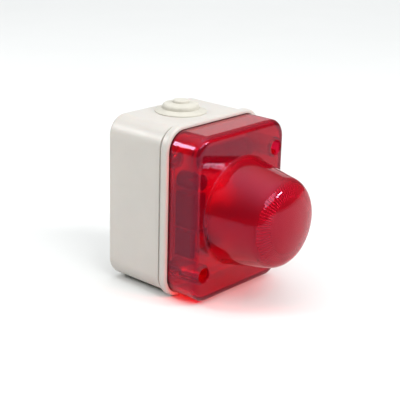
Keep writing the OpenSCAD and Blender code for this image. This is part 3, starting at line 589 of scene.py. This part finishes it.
def finishes():
    """The materials by slot, made once."""
    colours, front = bpy.context.scene.signal_finishes, bpy.context.scene.signal_lens.front
    made = {m["slot"]: m for m in bpy.data.materials if "slot" in m}
    if made:
        return made
    red = tuple(colours.red)
    made = {
        "ivory_plastic": moulded_abs("Moulded ivory ABS", tuple(colours.ivory)),
        "ivory_rubber": moulded_rubber("Moulded ivory rubber", tuple(colours.rubber)),
        "black_rubber": moulded_rubber("Moulded black rubber", linear("#2a2a2a"), rough=0.7),
        "red_lens": red_polycarbonate("Polished red polycarbonate", red, front),
        "red_lens_inside": red_polycarbonate("Eroded red polycarbonate", red, front, inside=True),
        "board_laminate": board_laminate("Pressed paper laminate", tuple(colours.board)),
        "zinc_steel": plated("Zinc-plated turned steel", linear("#c9cbce"), rough=0.28),
        "nickel_caps": plated("Nickel-plated stamped steel", linear("#cfccc4"), rough=0.18),
        "clamp_brass": plated("Tinned brass", linear("#cdbf93"), rough=0.3),
        "enamelled_wire": plated("Enamelled copper wire", linear("#a8622c"), rough=0.3, streak_mm=0.2),
        "white_plastic": moulded_body("Moulded white polyester", linear("#e2ded3"), rough=0.5),
        "tube_glass": drawn_glass("Drawn borosilicate glass", linear("#f2f6f7")),
        "dark_sleeve": moulded_body("Shrunk dark sleeve", linear("#231c1b"), rough=0.3),
        "brown_resin": moulded_body("Dipped brown resin", linear("#2e1d18"), rough=0.28),
        "ferrite": moulded_body("Ground ferrite", linear("#232122"), rough=0.55, grain_mm=0.3),
        "black_plastic": moulded_body("Moulded black epoxy", linear("#262626"), rough=0.5),
        "resistor_ceramic": moulded_body("Cast white cement", linear("#d5d0c2"), rough=0.8, grain_mm=0.4),
        "terminal_plastic": moulded_body("Moulded blue polyamide", linear("#3d6785"), rough=0.45),
    }
    for slot, material in made.items():
        material["slot"] = slot
    return made


class SIGNAL_OT_box(bpy.types.Operator):
    """Rear box: a thin shell with rounded long and rear edges, screw bosses and holes for the wall screws"""
    bl_idname = "signal.box"
    bl_label = "Rear box"

    def execute(self, context):
        scene = context.scene
        box, lens, grommet = scene.signal_box, scene.signal_lens, scene.signal_grommet
        soft, wall, floor = box.soft, box.wall, box.floor
        step_back, top = box.depth - box.step_length, box.height / 2
        # the shell's profile runs from the back over the outside and the stepped rim to the floor's inside
        path = rounded([(FAN, 0, 0), (box.rear + soft, 0, 0), (0, 0, box.rear), (0, step_back, soft),
                        (box.step, step_back, box.fine), (box.step, box.depth, soft), (wall, box.depth, soft),
                        (wall, floor, box.inside), (FAN, floor, 0)], BOX_STEPS)
        rings = swept(path, box.width, box.height, box.corner, angles(AROUND))
        shell = solid("rear_box_shell", [centred(rings)])
        ring = angles(HOLE_AROUND)
        holes = four(box.pitch_x / 2, box.pitch_z / 2)
        pad = rod(box.pad, floor / 2, floor + box.pad_height, soft)
        drill = rod(box.hole / 2, -OVERRUN, floor + box.pad_height + OVERRUN)
        boss = rounded([(0, floor / 2, 0), (box.boss, floor / 2, 0), (box.boss, box.boss_front, soft),
                        (box.boss_bore, box.boss_front, soft), (box.boss_bore, box.bore_end, 0),
                        (0, box.bore_end, 0)])
        posts = four(lens.screw_x, lens.screw_z)
        entry = rod(box.entry / 2, top - 2 * wall, top + wall)
        cut(shell, solid("pads", [turned(pad, ring, p) for p in holes]), "UNION")
        cut(shell, solid("drill", [turned(drill, ring, p) for p in holes]), "DIFFERENCE")
        cut(shell, solid("posts", [turned(boss, ring, p) for p in posts]), "UNION")
        cut(shell, solid("entry", [turned(entry, ring, (0, -grommet.away, 0), "up")]), "DIFFERENCE")
        place(shell, finishes()["ivory_plastic"], "ivory_plastic", "rear_box")
        return {"FINISHED"}


class SIGNAL_OT_grommet(bpy.types.Operator):
    """Cable grommet: a soft stepped cap with a thin flange, a domed step and a button, hollow below"""
    bl_idname = "signal.grommet"
    bl_label = "Cable grommet"

    def execute(self, context):
        grommet, box = context.scene.signal_grommet, context.scene.signal_box
        top = box.height / 2
        under = top - box.wall
        base = top + grommet.flange_height
        step_top = base + grommet.step_height
        crown = step_top + grommet.crown
        button_top = crown + grommet.button_height
        bore, ceiling = grommet.step - grommet.wall, step_top - grommet.wall
        lip_end = under - grommet.lip_depth
        fine, edge, soft = grommet.fine, grommet.edge, grommet.soft
        # the profile runs from the hollow's ceiling down the bore, round the lip and the neck, and up outside
        path = rounded([
            (0, ceiling, 0),
            (bore, ceiling, soft),
            (bore, lip_end, edge),
            (grommet.lip, lip_end, soft),
            (grommet.lip, under, fine),
            (grommet.neck, under, fine),
            (grommet.neck, top, fine / 2),
            (grommet.flange, top, fine),
            (grommet.flange, top + grommet.rim, edge),
            (grommet.step + grommet.groove, base - fine, soft),
            (grommet.step, base - grommet.groove_depth, fine),
            (grommet.step, step_top, grommet.step_round),
            (grommet.button + grommet.groove / 2, crown, fine),
            (grommet.button, crown - grommet.seam, fine / 2),
            (grommet.button - fine, button_top, grommet.button_round),
            (0, button_top + fine / 2, 0),
        ], GROMMET_STEPS)
        rings = turned(path, angles(GROMMET_AROUND), (0, -grommet.away, 0), "up")
        cap = solid("cable_grommet_cap", [rings], SOFT_SHARP)
        place(cap, finishes()["ivory_rubber"], "ivory_rubber", "cable_grommet")
        return {"FINISHED"}


class SIGNAL_OT_lens(bpy.types.Operator):
    """Lens: a skirt with rounded corners, a tapered dome with prisms inside its shoulder, and two recesses"""
    bl_idname = "signal.lens"
    bl_label = "Red lens"

    def arcs(self, lens):
        """Centres (radius, depth) of the shoulder's and the crown's arcs, the cone's slope, and the angle
        where the arcs meet. The crown's centre lies on the axis, the shoulder touches the crown from inside,
        and the cone is the line from the root circle that touches the shoulder."""
        crown = np.array([0, lens.front + lens.rise - lens.crown])
        across = lens.root - lens.shoulder_in
        along = math.sqrt((lens.crown - lens.shoulder) ** 2 - across * across)
        shoulder = np.array([across, crown[1] + along])
        run, climb = lens.root - across, shoulder[1] - lens.front
        slope = math.atan2(run, climb) - math.asin(lens.shoulder / math.hypot(run, climb))
        return shoulder, crown, slope, math.atan2(along, across)

    def surface(self, lens, theta, inward):
        """Radii and depths of the outer surface, or of the inner one at the wall's thickness inside it. The
        skirt follows the rounded rectangle, the flat front runs along the rays from it to the dome's root
        circle, and the dome is a cone, a shoulder arc and a crown arc, each touching the next. Inside, the
        ring of prisms lies between the arcs."""
        shoulder, crown, slope, lean = self.arcs(lens)
        wall, dome_wall = (lens.wall, lens.dome_wall) if inward else (0, 0)
        edge = lens.inner_edge if inward else lens.edge
        front, bend, end = lens.front - wall, lens.shoulder - dome_wall, lens.crown - dome_wall

        def arc(centre, radius, first, last, rows):
            """Points (radius, depth) of an arc between two angles."""
            turn = np.linspace(first, last, rows)
            return centre + radius * np.stack([np.cos(turn), np.sin(turn)], 1)

        def even(column):
            """Rows that have the same value along every ray."""
            return np.repeat(column[:, None], len(theta), 1)

        turn = np.linspace(0, np.pi / 2, EDGE_ROWS)
        front_edge = np.stack([edge * (1 - np.cos(turn)), front - edge + edge * np.sin(turn)], 1)
        skirt = np.vstack([[[0, lens.back + lens.rim], [0, front - edge - SUPPORT]], front_edge])
        skirt_rows = inset(skirt[:, 0] + wall, lens.width, lens.height, lens.corner, theta)
        low = shoulder + bend * np.array([math.cos(slope), math.sin(slope)])
        if inward:
            foot = low[0] + (low[1] - front) * math.tan(slope)
            root = np.array([[foot + lens.root_inside, front], [foot, front + lens.root_inside]])
        else:
            across = lens.root + lens.root_round * (1 - math.sin(slope)) / math.cos(slope)
            hollow = (across, front + lens.root_round)
            root = arc(hollow, lens.root_round, 1.5 * np.pi, np.pi + slope, ROOT_ROWS)
        share = np.array(FRONT_SHARES)[:, None]
        front_rows = (1 - share) * skirt_rows[-1] + share * root[0, 0]
        cone = np.linspace(root[-1], low, CONE_ROWS)[1:-1]
        if inward:
            ring = self.prisms(lens, theta, shoulder, crown, lean)
            bent = arc(shoulder, bend, slope, lens.prism_from, SHOULDER_ROWS)
            cap = arc(crown, end, math.acos(lens.prism_in / end), np.pi / 2, CROWN_ROWS)
        else:
            ring = np.empty((2, 0, len(theta)))
            bent = arc(shoulder, bend, slope, lean, SHOULDER_ROWS)
            cap = arc(crown, end, lean, np.pi / 2, CROWN_ROWS)[1:]
        dome = np.vstack([root, cone, bent])
        radius = np.vstack([skirt_rows, front_rows, even(dome[:, 0]), ring[0], even(cap[:, 0])])
        depth = np.vstack([even(skirt[:, 1]), np.full_like(front_rows, front), even(dome[:, 1]), ring[1],
                           even(cap[:, 1])])
        radius[-1] = 0
        return radius, depth

    def prisms(self, lens, theta, shoulder, crown, lean):
        """Radii and depths of the ring of prisms. It is a cone from a point on the shoulder to one on the
        crown, moved in by its back, with a V groove of 90 degrees at each pitch. A groove ends where it meets
        the dome's own inside, the shoulder's circle or the crown's."""
        bend, end = lens.shoulder - lens.dome_wall, lens.crown - lens.dome_wall
        low = shoulder + bend * np.array([math.cos(lens.prism_from), math.sin(lens.prism_from)])
        high = crown + np.array([lens.prism_in, math.sqrt(end ** 2 - lens.prism_in ** 2)])
        along = (high - low) / np.linalg.norm(high - low)
        out = np.array([along[1], -along[0]])
        face = np.linspace(low, high, PRISM_ROWS) - lens.prism_back * out

        def room(centre, radius):
            """Distance from the ring's face outwards to a circle."""
            away = face - centre
            return np.sqrt((away @ out) ** 2 - (away ** 2).sum(1) + radius ** 2) - away @ out

        hit = face + room(shoulder, bend)[:, None] * out - shoulder
        thick = np.where(np.arctan2(hit[:, 1], hit[:, 0]) < lean, room(shoulder, bend), room(crown, end))
        pitch = 2 * np.pi / lens.prism_count
        from_middle = np.abs((theta / pitch + 0.5) % 1 - 0.5) * pitch
        groove = np.clip(lens.prism - face[:, :1] * from_middle, 0, thick[:, None] - lens.prism_skin)
        return face[:, :1] + groove * out[0], face[:, 1:] + groove * out[1]

    def execute(self, context):
        lens = context.scene.signal_lens
        theta = angles(AROUND)
        outer, outer_depth = self.surface(lens, theta, False)
        inner, inner_depth = self.surface(lens, theta, True)
        rim = inset((lens.wall, lens.rim), lens.width, lens.height, lens.corner, theta)
        radius = np.vstack([inner[::-1], rim, outer])
        depth = np.vstack([inner_depth[::-1], np.full_like(rim, lens.back), outer_depth])
        shell = solid("lens_shell", [spread(radius, depth, theta)])
        # each pillar stands on a narrower foot, and its recess ends on the screw's hole
        floor, step = lens.front - lens.recess_depth, lens.foot_back + lens.foot_length
        inside_front = lens.front - lens.wall / 2
        pillar = rounded([
            (0, lens.foot_back, 0), (lens.foot, lens.foot_back, lens.foot_round),
            (lens.foot, step, lens.fine), (lens.pillar, step, lens.soft),
            (lens.pillar, inside_front, 0), (0, inside_front, 0),
        ], POST_STEPS)
        behind, before, wide = lens.foot_back - OVERRUN, lens.front + OVERRUN, lens.recess + OVERRUN
        bore = rounded([
            (0, behind, 0), (lens.hole, behind, 0), (lens.hole, floor, lens.fine),
            (lens.recess, floor, lens.soft), (lens.recess, lens.front, lens.mouth),
            (wide, lens.front + HAIR, 0), (wide, before, 0), (0, before, 0),
        ], POST_STEPS)
        ring = angles(POST_AROUND)
        places = [(k * lens.screw_x, 0, k * lens.screw_z) for k in (-1, 1)]
        cut(shell, solid("posts", [turned(pillar, ring, p) for p in places]), "UNION")
        cut(shell, solid("bores", [turned(bore, ring, p) for p in places]), "DIFFERENCE")
        made = finishes()
        place(shell, made["red_lens"], "red_lens", "lens_cover")
        # faces that look towards the middle of the skirt's back are the hazy inside
        shell.data.materials.append(made["red_lens_inside"])
        middle, facing = (np.empty((len(shell.data.polygons), 3), np.float32) for _ in range(2))
        shell.data.polygons.foreach_get("center", middle.ravel())
        shell.data.polygons.foreach_get("normal", facing.ravel())
        inside = ((middle + (0, lens.back, 0)) * facing).sum(1) < 0
        shell.data.polygons.foreach_set("material_index", inside.astype(np.int32))
        return {"FINISHED"}


class SIGNAL_OT_tube(bpy.types.Operator):
    """Flash tube: a hollow glass U with an electrode in each leg"""
    bl_idname = "signal.tube"
    bl_label = "Flash tube"

    def execute(self, context):
        circuit = context.scene.signal_circuit
        low, high = (np.array(corner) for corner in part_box("flash_tube"))
        middle, radius = (low + high) / 2, (high[2] - low[2]) / 2
        # the U's middle line is a leg, half a circle and the leg mirrored
        bend = (high[0] - low[0]) / 2 - radius
        turn = np.linspace(0, np.pi, BEND_ROWS)
        arc = np.stack([bend * np.cos(turn), low[1] + radius + bend - bend * np.sin(turn)], 1)
        leg = np.stack([np.full(LEG_ROWS, bend), np.linspace(high[1], arc[0, 1], LEG_ROWS)], 1)[:-1]
        path = np.concatenate([leg, arc, leg[::-1] * (-1, 1)])
        line = np.column_stack([path[:, 0] + middle[0], path[:, 1], np.full(len(path), middle[2])])
        outer, inner = tube(line, radius), tube(line, circuit.bore * radius)
        glass = solid("flash_tube_glass", [np.concatenate([outer, inner[::-1], outer[:1]])], SOFT_SHARP)
        place(glass, finishes()["tube_glass"], "tube_glass", "flash_tube")
        stem_end = circuit.stem_end
        head_end = stem_end + circuit.head_length
        electrode = rounded([
            (0, circuit.gap, 0), (circuit.stem, circuit.gap, 0), (circuit.stem, stem_end, circuit.fine),
            (circuit.head, stem_end, circuit.head_back), (circuit.head, head_end, circuit.head_round),
            (0, head_end + circuit.fine, 0),
        ])
        ring = angles(ELECTRODE_AROUND)
        legs = [(middle[0] + k * bend, high[1], middle[2]) for k in (-1, 1)]
        electrodes = solid("tube_electrodes", [turned(electrode, ring, p) for p in legs])
        place(electrodes, finishes()["nickel_caps"], "nickel_caps")
        return {"FINISHED"}


class SIGNAL_OT_winding(bpy.types.Operator):
    """Transformer winding: enamelled wire wound side by side on the core's limb"""
    bl_idname = "signal.winding"
    bl_label = "Transformer winding"

    def execute(self, context):
        circuit = context.scene.signal_circuit
        low, high = (np.array(corner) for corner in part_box("transformer_winding"))
        middle, radius = (low + high) / 2, (high[2] - low[2]) / 2
        # a helix: the radius follows |sin|, half a wave to a turn, and each round moves the wave on by a turn
        turns = round((high[0] - low[0]) / circuit.wire)
        theta = angles(COIL_AROUND)
        along = np.linspace(0, 1, COIL_STEPS * turns + 1)[:, None]
        wave = np.abs(np.sin(np.pi * (turns * along - theta / (2 * np.pi))))
        limb = np.full((2, COIL_AROUND), circuit.limb)
        rings = np.concatenate([radius - circuit.wire / 2 * (1 - wave), limb])
        x = low[0] + (high[0] - low[0]) * np.concatenate([along, [[1.0], [0.0]]])
        grid = np.stack([np.broadcast_to(x, rings.shape), middle[1] + rings * np.cos(theta),
                         middle[2] + rings * np.sin(theta)], -1)
        coil = solid("transformer_coil", [np.concatenate([grid, grid[:1]])], COIL_SHARP)
        place(coil, finishes()["enamelled_wire"], "enamelled_wire", "transformer_winding")
        return {"FINISHED"}


class SIGNAL_OT_circuit(bpy.types.Operator):
    """Finishes of the pieces that keep their solid shape: frame, screws, seals, board and components"""
    bl_idname = "signal.circuit"
    bl_label = "Circuit and fasteners"

    def execute(self, context):
        made = finishes()
        for part in frame["record"]["subparts"]:
            node = frame["nodes"][part["node"]]
            node.data.materials.clear()
            node.data.materials.append(made[part["material_slot"]])
        return {"FINISHED"}


class SIGNAL_OT_stage(bpy.types.Operator):
    """Stage: a pale floor, soft studio lamps and the camera at the photograph's angle"""
    bl_idname = "signal.stage"
    bl_label = "Studio"

    def floor(self, scene):
        """A flat round floor under the light: rings at the height of its lowest point."""
        rings = np.stack([FLOOR_REACH, np.full(len(FLOOR_REACH), CAD_BOX[0][2])], 1)
        floor = solid("studio_floor", [turned(rings, angles(FLOOR_AROUND), axis="up")])
        floor.data.materials.append(painted_floor("Matt painted floor", tuple(scene.signal_finishes.floor)))

    def tent(self, scene):
        """A white tent, dim near the floor and bright overhead, and plain pale where the camera sees it."""
        world = bpy.data.worlds.new("Studio")
        scene.world = world
        world.use_nodes = True
        tree = world.node_tree
        cloth = tree.nodes["Background"]
        cloth.inputs["Color"].default_value = linear("#f9fcff")
        toward = add(tree, "ShaderNodeTexCoord").outputs["Generated"]
        up = add(tree, "ShaderNodeSeparateXYZ", {"Vector": toward}).outputs["Z"]
        height = add(tree, "ShaderNodeMath", {0: up, 1: TENT_FALL}, operation="POWER")
        glow = add(tree, "ShaderNodeMapRange", {
            "Value": height.outputs[0], "To Min": TENT_LOW, "To Max": TENT_HIGH,
        })
        path = add(tree, "ShaderNodeLightPath")
        seen = add(tree, "ShaderNodeMix", {
            "Factor": path.outputs["Is Camera Ray"], "A": glow.outputs["Result"], "B": TENT_SEEN,
        })
        tree.links.new(seen.outputs["Result"], cloth.inputs["Strength"])

    def lamp(self, scene, name, position, target, width, height, brightness):
        """A soft box that faces the target. Its power is pi times its area times its brightness."""
        data = bpy.data.lights.new(name, "AREA")
        data.shape, data.size, data.size_y = "RECTANGLE", width, height
        data.energy = brightness * math.pi * width * height
        obj = bpy.data.objects.new(name, data)
        scene.collection.objects.link(obj)
        away = Vector(position) - Vector(target)
        obj.matrix_world = Matrix.Translation(position) @ away.to_track_quat("Z", "Y").to_matrix().to_4x4()

    def camera(self, scene):
        """The camera, from its place and its three axes."""
        data = bpy.data.cameras.new("camera")
        data.lens, data.sensor_width, data.clip_start = CAMERA_LENS, CAMERA_FILM, CAMERA_NEAR
        camera = bpy.data.objects.new("camera", data)
        scene.collection.objects.link(camera)
        axes = Matrix((CAMERA_ACROSS, CAMERA_UP, CAMERA_BACK)).transposed().to_4x4()
        camera.matrix_world = Matrix.Translation(CAMERA_PLACE) @ axes
        scene.camera = camera

    def execute(self, context):
        self.floor(context.scene)
        self.tent(context.scene)
        for name, setting in LAMPS.items():
            self.lamp(context.scene, name, *setting)
        self.camera(context.scene)
        context.scene.view_settings.view_transform = "Standard"
        return {"FINISHED"}


class SIGNAL_PT_panel(bpy.types.Panel):
    """Lists the steps that build the light"""
    bl_idname = "SIGNAL_PT_panel"
    bl_label = "Signal light"
    bl_space_type = "VIEW_3D"
    bl_region_type = "UI"
    bl_category = "Signal light"

    def draw(self, context):
        for step in STEPS:
            self.layout.operator(step.bl_idname)


GROUPS = {"signal_box": BoxSizes, "signal_lens": LensSizes, "signal_grommet": GrommetSizes,
          "signal_circuit": CircuitSizes, "signal_finishes": Finishes}
STEPS = (SIGNAL_OT_circuit, SIGNAL_OT_box, SIGNAL_OT_grommet, SIGNAL_OT_tube, SIGNAL_OT_winding,
         SIGNAL_OT_lens, SIGNAL_OT_stage)


def register():
    """Registers the classes and gives the scene its groups of sizes and colours."""
    for kind in (*GROUPS.values(), *STEPS, SIGNAL_PT_panel):
        bpy.utils.register_class(kind)
    for name, kind in GROUPS.items():
        setattr(bpy.types.Scene, name, bpy.props.PointerProperty(type=kind))


def unregister():
    """Takes back what register gave."""
    for name in GROUPS:
        delattr(bpy.types.Scene, name)
    for kind in reversed((*GROUPS.values(), *STEPS, SIGNAL_PT_panel)):
        bpy.utils.unregister_class(kind)


def main():
    """Builds everything in order."""
    register()
    for step in STEPS:
        group, name = step.bl_idname.split(".")
        getattr(getattr(bpy.ops, group), name)()


if __name__ == "__main__":
    main()
